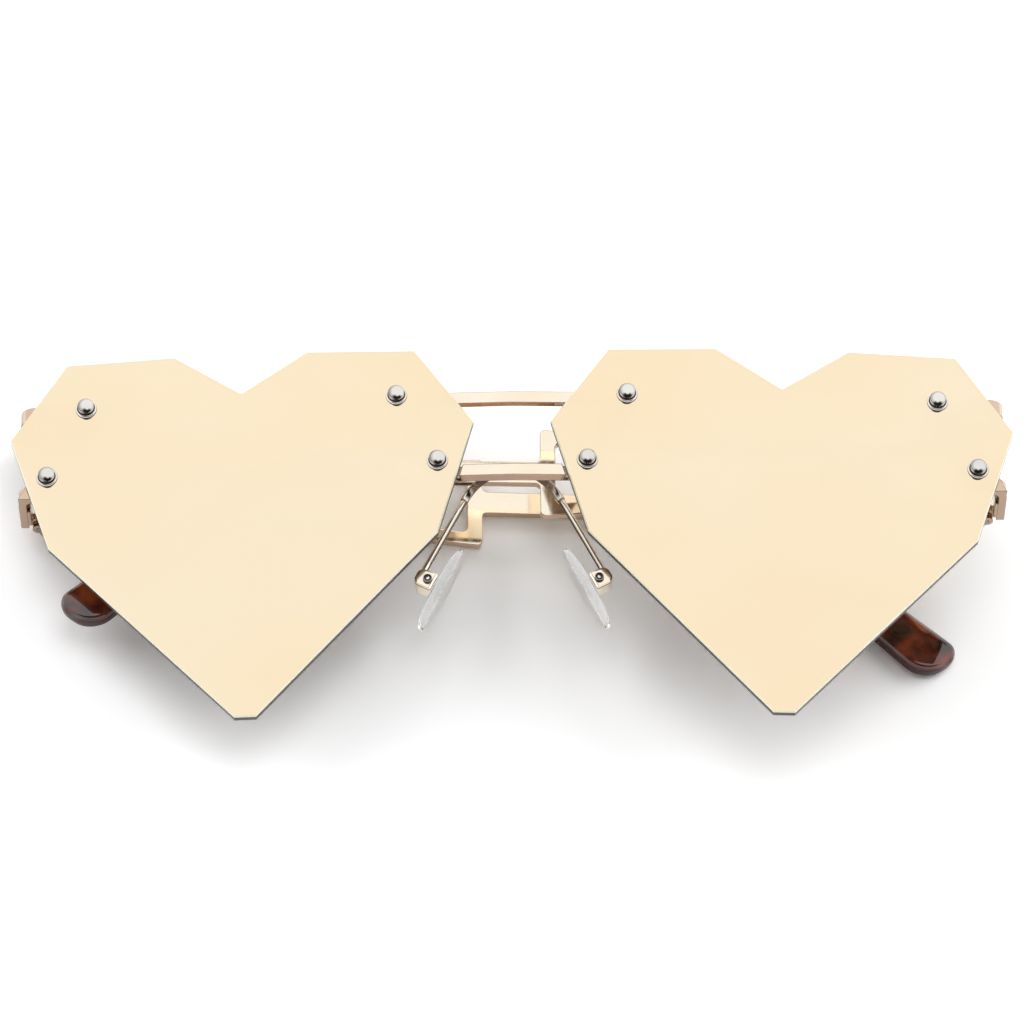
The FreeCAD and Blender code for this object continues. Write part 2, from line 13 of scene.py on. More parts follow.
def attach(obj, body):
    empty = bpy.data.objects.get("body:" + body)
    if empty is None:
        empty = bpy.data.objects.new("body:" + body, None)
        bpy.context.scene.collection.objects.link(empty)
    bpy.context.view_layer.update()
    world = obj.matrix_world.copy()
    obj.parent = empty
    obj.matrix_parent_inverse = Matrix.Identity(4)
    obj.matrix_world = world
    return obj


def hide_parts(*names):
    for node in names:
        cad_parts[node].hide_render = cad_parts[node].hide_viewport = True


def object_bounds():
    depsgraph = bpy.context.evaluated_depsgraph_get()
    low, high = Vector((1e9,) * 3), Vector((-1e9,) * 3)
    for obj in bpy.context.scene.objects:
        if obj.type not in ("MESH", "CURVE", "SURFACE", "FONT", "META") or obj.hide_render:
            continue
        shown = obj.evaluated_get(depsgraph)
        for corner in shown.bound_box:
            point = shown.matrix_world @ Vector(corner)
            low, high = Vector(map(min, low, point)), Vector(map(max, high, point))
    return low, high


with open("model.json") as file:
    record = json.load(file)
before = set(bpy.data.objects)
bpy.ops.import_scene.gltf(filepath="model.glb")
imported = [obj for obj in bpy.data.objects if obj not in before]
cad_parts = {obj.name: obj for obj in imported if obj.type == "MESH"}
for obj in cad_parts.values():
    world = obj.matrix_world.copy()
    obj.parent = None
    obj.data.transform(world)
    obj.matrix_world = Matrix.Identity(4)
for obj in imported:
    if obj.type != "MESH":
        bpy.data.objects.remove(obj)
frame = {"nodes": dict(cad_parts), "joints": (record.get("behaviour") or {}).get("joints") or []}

CAD_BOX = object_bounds()
LOG = logging.getLogger("heart_sunglasses")
MM = 0.001
QUARTER = math.pi / 2
Points = np.ndarray
Triple = tuple[float, float, float]
Colour = Triple
Span = tuple[float, float]
Material = bpy.types.Material
Socket = bpy.types.NodeSocket
WHOLE: Span = (0.0, 1.0)
WHITE = (1.0, 1.0, 1.0, 1.0)
PAD_CENTRE: Triple = (12.8, 6.5, -23.0)


class Side(Enum):
    """The wearer's side, with the sign of its x in the front's frame."""

    LEFT = 1
    RIGHT = -1

    @property
    def word(self) -> str:
        """Ending of the names of this side's pieces."""
        return self.name.lower()


class Slot(Enum):
    """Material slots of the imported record."""

    LENS = "lens"
    METAL = "frame_metal"
    SILVER = "silver_fixing"
    TIP = "tip"
    PAD = "pad"


class Body(Enum):
    """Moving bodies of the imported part."""

    FRONT = "front"
    TEMPLE_LEFT = "temple_left"
    TEMPLE_RIGHT = "temple_right"
    PAD_LEFT = "pad_left"
    PAD_RIGHT = "pad_right"


class LensFace(IntEnum):
    """Place of a lens face's finish in the lens's list."""

    MIRROR = 0
    BEVEL = 1
    WALL = 2
    BACK = 3


class Band(IntEnum):
    """Place of a band's finish in the list of a cap, washer, clasp or screw."""

    PLAIN = 0
    # Painted shade in grooves, recesses and outlines.
    DARK = 1
    # Lighter silver painted on as a highlight ring.
    RING = 2


def unit(vectors: Points) -> Points:
    """Vectors along the last axis, each brought to length 1."""
    return vectors / np.linalg.norm(vectors, axis=-1, keepdims=True)


@dataclass(frozen=True)
class FrontFrame:
    """Frame of the front: x to the wearer's left, y back from the lenses, z up the front, in millimetres.

    The rows of axes are these three directions in the part's frame.
    """

    origin: Points
    axes: Points

    def place(self, points: Points) -> Points:
        """Points in the part's frame, in metres: origin + x across + y back + z up."""
        return self.origin + np.asarray(points, float) * MM @ self.axes

    def local(self, point: Points) -> Points:
        """Front's frame millimetres of a point given in metres in the part's frame."""
        return self.axes @ (point - self.origin) / MM


def frame_joint(name: str, key: str = "pos_m") -> Points:
    """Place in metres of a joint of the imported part, or another of its vectors."""
    return np.array(next(joint[key] for joint in frame["joints"] if joint["name"] == name), float)


def find_front() -> FrontFrame:
    """Find the front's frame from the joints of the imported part.

    The hinges lie level with each other, the pad screws point straight back, and the point between the
    two pad screws lies at a known depth and height.
    """
    across = unit(frame_joint("left_temple_hinge") - frame_joint("right_temple_hinge"))
    back = unit(frame_joint("left_pad_rock", "axis"))
    up = np.cross(across, back)
    between = (frame_joint("left_pad_rock") + frame_joint("right_pad_rock")) / 2
    _, depth, height = PAD_CENTRE
    return FrontFrame(between - MM * (depth * back + height * up), np.stack((across, back, up)))


FRONT = find_front()


def turned(points: Points, degrees: float) -> Points:
    """Turn points about the front's up axis: x' = x cos - y sin, y' = x sin + y cos."""
    angle = math.radians(degrees)
    cos, sin = math.cos(angle), math.sin(angle)
    return np.asarray(points, float) @ np.array([[cos, sin, 0], [-sin, cos, 0], [0, 0, 1]])


def mirrored(points: Points, side: Side) -> Points:
    """Points of the wearer's left side, carried to the given side."""
    return np.asarray(points, float) * np.array([side.value, 1.0, 1.0])


def offset_loop(loop: Points, inset: float) -> Points:
    """Move every side of a closed flat outline inwards by the same distance.

    Each corner goes along the sum of its two side normals, lengthened so that both sides move by inset.

    Args:
        loop: Corners of the outline, one row each with two columns.
        inset: Distance inwards.

    Returns:
        The moved corners.
    """
    ahead = np.roll(loop, -1, axis=0) - loop
    twice_area = np.sum(loop[:, 0] * np.roll(loop[:, 1], -1) - np.roll(loop[:, 0], -1) * loop[:, 1])
    normal = unit(np.stack((-ahead[:, 1], ahead[:, 0]), axis=1)) * np.sign(twice_area)
    both = normal + np.roll(normal, 1, axis=0)
    return loop + inset * 2 * both / np.sum(both * both, axis=1, keepdims=True)


def stepped_rings(outline: Points, levels: tuple[Span, ...]) -> Points:
    """Rings of a flat outline of x and z, one for each (inset, depth) of the levels, with the depth as y."""
    return np.array([np.insert(offset_loop(outline, inset), 1, depth, axis=1) for inset, depth in levels])


def spun_rings(profile: Points, steps: int) -> Points:
    """Rings of a profile spun about the y axis: x = r cos t, y = -h, z = r sin t.

    Args:
        profile: Radius r and height h of each ring.
        steps: Points on a ring.

    Returns:
        The rings, standing out to the front.
    """
    angle = np.linspace(0, 2 * math.pi, steps, endpoint=False)
    radius, height = profile[:, :1], profile[:, 1:]
    depth = np.broadcast_to(-height, (len(profile), steps))
    return np.stack((radius * np.cos(angle), depth, radius * np.sin(angle)), axis=-1)


def tangent_arc(before: Points, corner: Points, after: Points, radius: float, steps: int) -> Points:
    """Arc that rounds a corner and touches both of its sides.

    Its centre lies on the corner's bisector, at the radius over the sine of half the corner's angle.

    Args:
        before: Point from which the path comes.
        corner: The corner.
        after: Point to which the path goes.
        radius: Radius of the arc.
        steps: Points on the arc.

    Returns:
        Points of the arc, one row each.
    """
    come, leave = unit(before - corner), unit(after - corner)
    half = math.acos(float(np.clip(come @ leave, -1, 1))) / 2
    inward = unit(come + leave)
    sideways = unit(come - (come @ inward) * inward)
    swing = np.linspace(half - QUARTER, QUARTER - half, steps)[:, None]
    centre = corner + inward * radius / math.sin(half)
    return centre - radius * (inward * np.cos(swing) + sideways * np.sin(swing))


def rounded_loop(corners: list[Triple], steps: int = 8) -> Points:
    """Closed outline with each corner rounded by its tangent arc.

    Args:
        corners: Corners in order round the outline, as (a, b, radius).
        steps: Points on each arc.

    Returns:
        Points of the outline, one row each.
    """
    flat = np.array([corner[:2] for corner in corners], float)
    near = zip(np.roll(flat, 1, axis=0), flat, np.roll(flat, -1, axis=0), corners)
    return np.concatenate([tangent_arc(*three, corner[2], steps) for *three, corner in near])


def superellipse(count: int, power: float) -> Points:
    """Unit superellipse |x|^p + |y|^p = 1 as count points round it, two columns."""
    turn = np.linspace(0, 2 * math.pi, count, endpoint=False)
    wave = np.stack((np.cos(turn), np.sin(turn)), axis=1)
    return np.sign(wave) * np.abs(wave) ** (2 / power)


@dataclass(frozen=True)
class RingStack:
    """Closed skin of rings of points, one after another, with a flat cap on the first and the last ring."""

    rings: Points
    bands: tuple[int, ...] = (0,)
    caps: tuple[int, int] = (0, 0)

    def faces(self, first: int) -> tuple[list[tuple[int, ...]], list[int]]:
        """Faces between the rings and on the two caps.

        Args:
            first: Index of the stack's first point in the mesh.

        Returns:
            The corner indices of each face, and the index of each face's finish.
        """
        rows, columns = self.rings.shape[:2]
        index = first + np.arange(rows * columns).reshape(rows, columns)
        after = np.roll(index, -1, axis=1)
        quads = np.stack((index[:-1], after[:-1], after[1:], index[1:]), axis=-1).reshape(-1, 4)
        bands = self.bands if len(self.bands) == rows - 1 else self.bands[:1] * (rows - 1)
        corners = [tuple(quad) for quad in quads.tolist()]
        corners += [tuple(index[0, ::-1].tolist()), tuple(index[-1].tolist())]
        return corners, np.repeat(bands, columns).tolist() + list(self.caps)


def add_object(name: str, data: bpy.types.ID) -> bpy.types.Object:
    """New object in the scene."""
    made = bpy.data.objects.new(name, data)
    bpy.context.scene.collection.objects.link(made)
    return made


def add_values(mesh: bpy.types.Mesh, name: str, values: Points) -> None:
    """Give each point of a mesh a value that a finish reads by its name."""
    layer = mesh.attributes.new(name, "FLOAT", "POINT")
    layer.data.foreach_set("value", np.asarray(values, np.float32).ravel())


@dataclass(frozen=True)
class Outfit:
    """What a new piece is called, what it rides on and stands for, its finishes and its crease in degrees."""

    name: str
    body: Body
    slot: Slot
    finishes: tuple[Material, ...]
    replaced: tuple[str, ...]
    crease: float = 32.0


def make_piece(outfit: Outfit, stacks: list[RingStack],
               rim: Points | None = None) -> bpy.types.Object:
    """Make one piece from ring stacks given in the front's frame.

    Args:
        outfit: Name, body, slot and finishes of the piece.
        stacks: Its skins, in millimetres.
        rim: Value for each point that the tips' finish reads, to paint shade on their walls.

    Returns:
        The object, riding on its body.
    """
    points = np.concatenate([stack.rings.reshape(-1, 3) for stack in stacks])
    corners: list[tuple[int, ...]] = []
    finishes: list[int] = []
    first = 0
    for stack in stacks:
        more, dressed = stack.faces(first)
        corners += more
        finishes += dressed
        first += stack.rings.shape[0] * stack.rings.shape[1]
    mesh = bpy.data.meshes.new(outfit.name)
    mesh.from_pydata(FRONT.place(points).tolist(), [], corners)
    mesh.polygons.foreach_set("material_index", finishes)
    if rim is not None:
        add_values(mesh, "rim", rim)
    shell = bmesh.new()
    shell.from_mesh(mesh)
    bmesh.ops.recalc_face_normals(shell, faces=shell.faces)
    shell.to_mesh(mesh)
    shell.free()
    mesh.polygons.foreach_set("use_smooth", np.ones(len(mesh.polygons), bool))
    mesh.set_sharp_from_angle(angle=math.radians(outfit.crease))
    for finish in outfit.finishes:
        mesh.materials.append(finish)
    piece = add_object(outfit.name, mesh)
    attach(piece, outfit.body.value)
    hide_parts(*outfit.replaced)
    LOG.info("%s: %d points on %s", outfit.name, len(points), outfit.body.value)
    return piece


class NodeBench:
    """A node tree and the steps that the world, the studio and the finishes share."""

    def __init__(self, tree: bpy.types.NodeTree) -> None:
        """Work on this tree."""
        self.tree = tree

    def node(self, kind: str, **settings: object) -> bpy.types.Node:
        """New node of a kind; settings that name an input set its value, the others set a property."""
        made = self.tree.nodes.new(kind)
        for key, value in settings.items():
            if key in made.inputs:
                made.inputs[key].default_value = value
            else:
                setattr(made, key, value)
        return made

    def link(self, start: Socket, end: Socket) -> None:
        """Join an output to an input."""
        self.tree.links.new(start, end)

    def mapped(self, value: Socket, start: Span, end: Span = WHOLE) -> Socket:
        """Carry a value from one span to another and hold it at the ends."""
        span = self.node("ShaderNodeMapRange")
        for key, number in zip(("From Min", "From Max", "To Min", "To Max"), (*start, *end)):
            span.inputs[key].default_value = number
        self.link(value, span.inputs["Value"])
        return span.outputs["Result"]

    def blended(self, share: Socket, first: Socket, second: Socket) -> Socket:
        """First shader where share is 0, second where it is 1."""
        mix = self.node("ShaderNodeMixShader")
        for start, end in zip((share, first, second), mix.inputs):
            self.link(start, end)
        return mix.outputs["Shader"]

    def background_rays(self) -> Socket:
        """1 for a ray from the camera, off gloss or through clear plastic, and 0 for the rest."""
        path = self.node("ShaderNodeLightPath")
        total = path.outputs["Is Camera Ray"]
        for key in ("Is Glossy Ray", "Is Transmission Ray"):
            more = self.node("ShaderNodeMath", operation="MAXIMUM")
            self.link(total, more.inputs[0])
            self.link(path.outputs[key], more.inputs[1])
            total = more.outputs["Value"]
        return total


@dataclass(frozen=True)
class Grain:
    """Noise of a finish: waves in a metre, octaves of finer waves, and factors along x, y and z."""

    waves: float
    octaves: float = 2.0
    stretch: Triple = (1.0, 1.0, 1.0)


class Shader(NodeBench):
    """A new material and the node steps that the finishes share."""

    noise_span: Span = (0.3, 0.7)
    edge_span: Span = (0.97, 0.78)
    edge_samples: int = 8

    def __init__(self, name: str) -> None:
        """Start the material with one Principled shader."""
        self.material = bpy.data.materials.new(name)
        self.material.use_nodes = True
        super().__init__(self.material.node_tree)
        self.surface = self.tree.nodes["Principled BSDF"]

    def set(self, **values: float) -> None:
        """Set constants on the shader's own sockets; an underscore in a name stands for a space."""
        for key, value in values.items():
            self.surface.inputs[key.replace("_", " ")].default_value = value

    def to(self, socket: Socket, key: str) -> None:
        """Feed one of the shader's sockets."""
        self.link(socket, self.surface.inputs[key])

    def show(self, socket: Socket) -> None:
        """Show another shader instead of the Principled one."""
        self.tree.nodes.remove(self.surface)
        self.link(socket, self.tree.nodes["Material Output"].inputs["Surface"])

    def noise(self, grain: Grain) -> Socket:
        """Noise on the piece's own place, about 0.5."""
        place = self.node("ShaderNodeTexCoord")
        mapping = self.node("ShaderNodeMapping", Scale=grain.stretch)
        noise = self.node("ShaderNodeTexNoise", Scale=grain.waves, Detail=grain.octaves)
        self.link(place.outputs["Object"], mapping.inputs["Vector"])
        self.link(mapping.outputs["Vector"], noise.inputs["Vector"])
        return noise.outputs["Fac"]

    def ramp(self, value: Socket, places: tuple[float, ...], colours: tuple[Colour, ...]) -> Socket:
        """Colour for a value: each place has its colour, with a mix between."""
        ramp = self.node("ShaderNodeValToRGB")
        elements = ramp.color_ramp.elements
        while len(elements) < len(places):
            elements.new(0.5)
        for element, at, colour in zip(elements, places, colours):
            element.position = at
            element.color = (*colour, 1.0)
        self.link(value, ramp.inputs["Fac"])
        return ramp.outputs["Color"]

    def spread(self, noise: Socket, ends: Span) -> Socket:
        """The usual span of a noise, carried to the two ends."""
        return self.mapped(noise, self.noise_span, ends)

    def mixed(self, share: Socket, first: Socket, second: Colour) -> Socket:
        """First colour where share is 0, second where it is 1."""
        mix = self.node("ShaderNodeMix", data_type="RGBA")
        self.link(share, mix.inputs["Factor"])
        self.link(first, mix.inputs["A"])
        mix.inputs["B"].default_value = (*second, 1.0)
        return mix.outputs["Result"]

    def on_sides(self, span: Span) -> Socket:
        """Share that is 0 on level faces and 1 on upright ones.

        Args:
            span: Upward part of the normal, without its sign, where the share starts and where it is 1.

        Returns:
            The share.
        """
        place = self.node("ShaderNodeTexCoord")
        axes = self.node("ShaderNodeSeparateXYZ")
        size = self.node("ShaderNodeMath", operation="ABSOLUTE")
        self.link(place.outputs["Normal"], axes.inputs["Vector"])
        self.link(axes.outputs["Z"], size.inputs[0])
        return self.mapped(size.outputs["Value"], span)

    def rounded(self, radius: float) -> Socket:
        """Normal of the surface as if its edges were rounded by a radius in metres."""
        return self.node("ShaderNodeBevel", samples=self.edge_samples, Radius=radius).outputs["Normal"]

    def on_edges(self, radius: float) -> Socket:
        """1 along sharp edges, where edges of this radius would turn from the face, and 0 on the faces."""
        face = self.node("ShaderNodeNewGeometry")
        turn = self.node("ShaderNodeVectorMath", operation="DOT_PRODUCT")
        self.link(self.rounded(radius), turn.inputs[0])
        self.link(face.outputs["Normal"], turn.inputs[1])
        return self.mapped(turn.outputs["Value"], self.edge_span)

    def bump(self, value: Socket, distance: float, strength: float, edge: float = 0.0) -> None:
        """Raise the surface by a value, and shade its edges as if they were rounded.

        Args:
            value: Height, about 0.5.
            distance: Metres that a height of 1 stands for.
            strength: Share of the bump.
            edge: Radius of the rounded edges in metres, or 0 for edges as they are.
        """
        bump = self.node("ShaderNodeBump", Distance=distance, Strength=strength)
        self.link(value, bump.inputs["Height"])
        if edge > 0:
            self.link(self.rounded(edge), bump.inputs["Normal"])
        self.link(bump.outputs["Normal"], self.surface.inputs["Normal"])


@dataclass(frozen=True)
class Finish:
    """Two tones mixed by a slow noise, and a roughness spread by finer marks, or else by the same noise.

    Where a side tone is given, the upright faces get that darker tone as painted shade, from the first to
    the second upward part of the normal in its span. The edges are shaded as if rounded with the radius
    edge, in metres, and, where an edge tone is given, carry that tone as painted dark lines of shade.
    """

    name: str
    low: Colour
    high: Colour
    roughness: Span
    drift: Grain
    tone_span: Span = (0.35, 0.65)
    marks: Grain | None = None
    mark_height: float = 0.0
    mark_share: float = 0.0
    edge: float = 0.0
    # Darker tone painted on upright faces as shade.
    cut: Colour | None = None
    side_shade_span: Span = (0.7, 0.3)
    # Dark tone painted along sharp edges as lines of shade.
    edge_shade: Colour | None = None
    mirror: float = 0.0
    clear: float = 0.0
    ior: float = 1.5

    def material(self) -> Material:
        """Make the material."""
        shader = Shader(self.name)
        drift = shader.noise(self.drift)
        marks = shader.noise(self.marks) if self.marks else drift
        tone = shader.ramp(drift, self.tone_span, (self.low, self.high))
        # Paint shade on the upright faces, found by the object-space normal.
        if self.cut:
            tone = shader.mixed(shader.on_sides(self.side_shade_span), tone, self.cut)
        # Paint the dark edge lines of shade where the rounded normal turns away from the face.
        if self.edge_shade:
            tone = shader.mixed(shader.on_edges(self.edge), tone, self.edge_shade)
        shader.to(tone, "Base Color")
        shader.to(shader.spread(marks, self.roughness), "Roughness")
        if self.mark_height > 0:
            shader.bump(marks, self.mark_height, self.mark_share, self.edge)
        shader.set(Metallic=self.mirror, Transmission_Weight=self.clear, IOR=self.ior)
        return shader.material


@dataclass(frozen=True)
class LensRim(Finish):
    """Cut edge of a lens with fine streaks: the polished bevel, or the smoky wall behind it."""

    drift: Grain = Grain(2500.0, 3.0)
    mark_height: float = 0.02 * MM
    mark_share: float = 0.15


@dataclass(frozen=True)
class PlatedMetal(Finish):
    """Polished plated metal with fine polishing marks."""

    roughness: Span = (0.06, 0.14)
    drift: Grain = Grain(120.0, 3.0)
    tone_span: Span = (0.30, 0.62)
    marks: Grain = Grain(1400.0, 4.0, (1.0, 0.25, 1.0))
    mark_height: float = 0.01 * MM
    mark_share: float = 0.06
    mirror: float = 1.0


@dataclass(frozen=True)
class ClearSoft(Finish):
    """Clear soft plastic of the pads and bushes, with a slight uneven haze."""

    low: Colour = (0.98, 0.98, 0.98)
    high: Colour = (0.94, 0.95, 0.95)
    roughness: Span = (0.0, 0.03)
    drift: Grain = Grain(90.0, 1.0)
    tone_span: Span = (0.35, 0.70)
    clear: float = 1.0
    ior: float = 1.14


@dataclass(frozen=True)
class Tortoise:
    """Polished tortoise brown: dark clouds over orange, with duller walls darkened by painted shade."""

    dark: Colour = (0.020, 0.006, 0.005)
    brown: Colour = (0.135, 0.024, 0.010)
    amber: Colour = (0.36, 0.080, 0.008)
    stops: Triple = (0.43, 0.53, 0.68)
    # Dark tone painted on the walls and end as shade.
    rim: Colour = (0.060, 0.014, 0.010)
    rim_polish: float = 0.12
    clouds: Grain = Grain(170.0, 2.5, (1.0, 1.0, 1.4))
    marks: Grain = Grain(500.0)
    roughness: Span = (0.05, 0.10)

    def material(self) -> Material:
        """Clouded brown under a clear polish; the rim attribute paints shade on the walls and dulls them."""
        shader = Shader("tip_tortoise")
        body = shader.ramp(shader.noise(self.clouds), self.stops, (self.dark, self.brown, self.amber))
        # The rim attribute paints shade on the walls and end and takes away some of their coat.
        rim = shader.node("ShaderNodeAttribute", attribute_name="rim").outputs["Fac"]
        shader.to(shader.mixed(rim, body, self.rim), "Base Color")
        shader.to(shader.spread(shader.noise(self.marks), self.roughness), "Roughness")
        shader.to(shader.mapped(rim, WHOLE, (1.0, self.rim_polish)), "Coat Weight")
        shader.set(IOR=1.2, Coat_Roughness=0.02, Coat_IOR=1.9)
        return shader.material


class Finishes:
    """Every finish of the glasses, made once."""

    def __init__(self) -> None:
        """Make the materials."""
        self.mirror = Finish(
            "lens_mirror_coat", (1.0, 0.86, 0.63), (1.0, 0.825, 0.575), (0.015, 0.04),
            Grain(22.0, 2.0, (1.0, 1.6, 1.0)), marks=Grain(300.0, 3.0), mirror=0.96, clear=1.0).material()
        self.back_tint = Finish(
            "lens_back_tint", (0.17, 0.115, 0.070), (0.25, 0.165, 0.10), (0.05, 0.10), Grain(30.0),
            marks=Grain(400.0), mirror=0.15, clear=0.8).material()
        self.bevel = LensRim(
            "lens_bevel", (0.98, 0.93, 0.76), (0.95, 0.88, 0.68), (0.20, 0.30), mirror=0.3).material()
        self.wall = LensRim(
            "lens_wall", (0.030, 0.024, 0.016), (0.040, 0.031, 0.021), (0.28, 0.42)).material()
        self.gold = PlatedMetal("frame_gold", (0.98, 0.84, 0.65), (1.0, 0.90, 0.74)).material()
        # Gold of the bridge and temple arms, with painted shade on upright sides and painted dark lines along
        # edges.
        self.plate_gold = PlatedMetal(
            "plate_gold", (0.98, 0.85, 0.67), (1.0, 0.91, 0.76), edge=0.30 * MM, cut=(0.62, 0.43, 0.31),
            edge_shade=(0.33, 0.22, 0.15)).material()
        # Darker copy of the gold for endpieces and knuckles as painted shade, with painted side shade and
        # dark edge lines.
        self.shaded_hinge_gold = PlatedMetal(
            "shaded_hinge_gold", (0.62, 0.46, 0.34), (0.74, 0.58, 0.44), edge=0.25 * MM, cut=(0.45, 0.32, 0.23),
            edge_shade=(0.24, 0.16, 0.11)).material()
        # Wire gold whose upright sides are darkened as painted shade.
        self.wire = PlatedMetal(
            "wire_gold", (0.90, 0.81, 0.69), (0.97, 0.90, 0.80), cut=(0.15, 0.10, 0.07),
            side_shade_span=(0.95, 0.62)).material()
        # Near-black metal painted into grooves, recesses and outlines as shade.
        self.recess_shade = PlatedMetal(
            "recess_dark", (0.05, 0.04, 0.035), (0.10, 0.08, 0.065), (0.25, 0.40)).material()
        # Silver whose upright sides and dome edges get painted shade.
        self.silver = PlatedMetal(
            "fixing_silver", (0.74, 0.725, 0.70), (0.86, 0.845, 0.815), (0.05, 0.12), cut=(0.30, 0.28, 0.26),
            side_shade_span=(0.91, 0.75)).material()
        # Lighter silver painted on rings as highlights.
        self.highlight_ring_silver = PlatedMetal(
            "highlight_ring_silver", (0.80, 0.78, 0.75), (0.90, 0.88, 0.85), (0.05, 0.12)).material()
        self.tortoise = Tortoise().material()
        self.clear_pad = ClearSoft("pad_clear").material()
        self.clear_core = ClearSoft("pad_core_clear", ior=1.02).material()
        self.clear_bush = ClearSoft("bush_clear", ior=1.49).material()


@dataclass
class HeartLenses:
    """The two cut heart lenses and their fixings. Lengths in millimetres, angles in degrees."""

    finishes: Finishes
    thickness: float = 1.4
    wrap: float = 2.0
    axis: float = 40.65
    turn: float = 1.2
    notch_height: float = 7.0
    half_outline: tuple[Span, ...] = (
        (10.0, 13.7), (26.3, 13.1), (34.85, 0.55), (29.1, -18.0), (1.6, -47.3))
    bevel_width: float = 0.16
    bevel_depth: float = 0.34
    back_bevel: float = 0.12
    lens_crease: float = 1.0
    upper_fixing: Span = (23.4, 5.4)
    lower_fixing: Span = (29.3, -6.0)
    washer_radius: float = 1.6
    washer_height: float = 0.35
    washer_wall: float = 0.2
    washer_bore: float = 0.61
    cap_radius: float = 1.22
    cap_side: float = 0.74
    cap_dome: float = 0.45
    cap_edge: float = 0.04
    cap_pole: float = 0.02
    groove: float = 0.12
    groove_slope: float = 0.03
    groove_span: Span = (0.30, 0.55)
    washer_steps: int = 9
    dome_steps: int = 20
    round_steps: int = 48

    def on_heart(self, half: Points, height: Points) -> Points:
        """Place on the flat left lens of points given from the heart's own axis, as across and up."""
        angle = math.radians(self.turn)
        across = self.axis + half * math.cos(angle) + height * math.sin(angle)
        return np.stack((across, height * math.cos(angle) - half * math.sin(angle)), axis=-1)

    def outline(self) -> Points:
        """Corners of the flat left lens from its notch, mirror halves about the heart's axis."""
        half = np.array(self.half_outline)
        halves = np.concatenate(([0.0], half[:, 0], -half[::-1, 0]))
        heights = np.concatenate(([self.notch_height], half[:, 1], half[::-1, 1]))
        return self.on_heart(halves, heights)

    def lens_skin(self, side: Side) -> RingStack:
        """Heart outline carried from the front face over the bevel and the wall to the back face."""
        levels = ((self.bevel_width, 0.0), (0.0, self.bevel_depth), (0.0, self.thickness - self.back_bevel),
                  (self.back_bevel, self.thickness))
        rings = turned(stepped_rings(self.outline(), levels), self.wrap)
        return RingStack(mirrored(rings, side), bands=(LensFace.BEVEL, LensFace.WALL, LensFace.BACK),
                         caps=(LensFace.MIRROR, LensFace.BACK))

    def fixing_places(self) -> Points:
        """Middles of the four fixings on the flat left lens."""
        half, height = np.transpose((self.upper_fixing, self.lower_fixing))
        return self.on_heart(np.concatenate((half, -half)), np.tile(height, 2))

    def washer_profile(self) -> Points:
        """Radius and height of the washer: a low wall, a quarter round, and the top under the cap."""
        bend = np.linspace(0, QUARTER, self.washer_steps)
        wide = self.washer_radius - self.cap_radius
        rise = self.washer_wall + (1 - self.washer_wall) * np.sin(bend)
        top = np.stack((self.cap_radius + wide * np.cos(bend), self.washer_height * rise), 1)
        return np.concatenate(([[self.washer_radius, 0.0]], top, [[self.washer_bore, self.washer_height]]))

    def cap_profile(self) -> Points:
        """Radius and height of the cap: a grooved side under a dome.

        The dome is part of a sphere of radius S: r = S sin t, h = S cos t.
        """
        seat, wide, neck = self.washer_height, self.cap_radius, self.cap_radius - self.groove
        low, high = (seat + self.cap_side * share for share in self.groove_span)
        side = [(wide - self.cap_edge, seat), (wide, seat + self.cap_edge), (wide, low - self.groove_slope),
                (neck, low), (neck, high), (wide, high + self.groove_slope)]
        sphere = (wide ** 2 + self.cap_dome ** 2) / (2 * self.cap_dome)
        bend = np.linspace(math.asin(wide / sphere), self.cap_pole, self.dome_steps)
        rise = seat + self.cap_side + self.cap_dome - sphere
        return np.concatenate((side, np.stack((sphere * np.sin(bend), rise + sphere * np.cos(bend)), 1)))

    def fixings(self, profile: Points, bands: tuple[int, ...]) -> list[RingStack]:
        """Profile spun about the axes of all eight fixings, standing out from the lens fronts."""
        stacks = []
        for side in Side:
            for across, up in self.fixing_places():
                rings = spun_rings(profile, self.round_steps) + np.array([across, 0.0, up])
                stacks.append(RingStack(mirrored(turned(rings, self.wrap), side), bands))
        return stacks

    def build(self) -> None:
        """Make both lenses, the eight caps and the eight washers."""
        made = self.finishes
        coats = (made.mirror, made.bevel, made.wall, made.back_tint)
        for side in Side:
            name = f"lens_{side.word}"
            outfit = Outfit(f"heart_{name}", Body.FRONT, Slot.LENS, coats, (name,), self.lens_crease)
            make_piece(outfit, [self.lens_skin(side)])
        # Silver with painted side shade, a dark finish that paints shade, and a lighter silver that paints
        # highlights.
        dress = (made.silver, made.recess_shade, made.highlight_ring_silver)
        cap, washer = self.cap_profile(), self.washer_profile()
        # Painted shade in the caps' grooves and round the washers' outer edge and next to the cap; painted
        # highlight rings on cap sides and washer tops.
        dark = (Band.DARK,) * 3
        side_bands = (Band.RING, Band.RING, *dark, Band.RING)
        cap_bands = side_bands + (Band.PLAIN,) * (len(cap) - 1 - len(side_bands))
        washer_bands = dark + (Band.RING,) * (len(washer) - 1 - 2 * len(dark)) + dark
        make_piece(Outfit("domed_caps", Body.FRONT, Slot.SILVER, dress, ("lens_cap_screws",)),
                   self.fixings(cap, cap_bands))
        make_piece(Outfit("cap_washers", Body.FRONT, Slot.SILVER, dress, ("lens_washers",)),
                   self.fixings(washer, washer_bands))


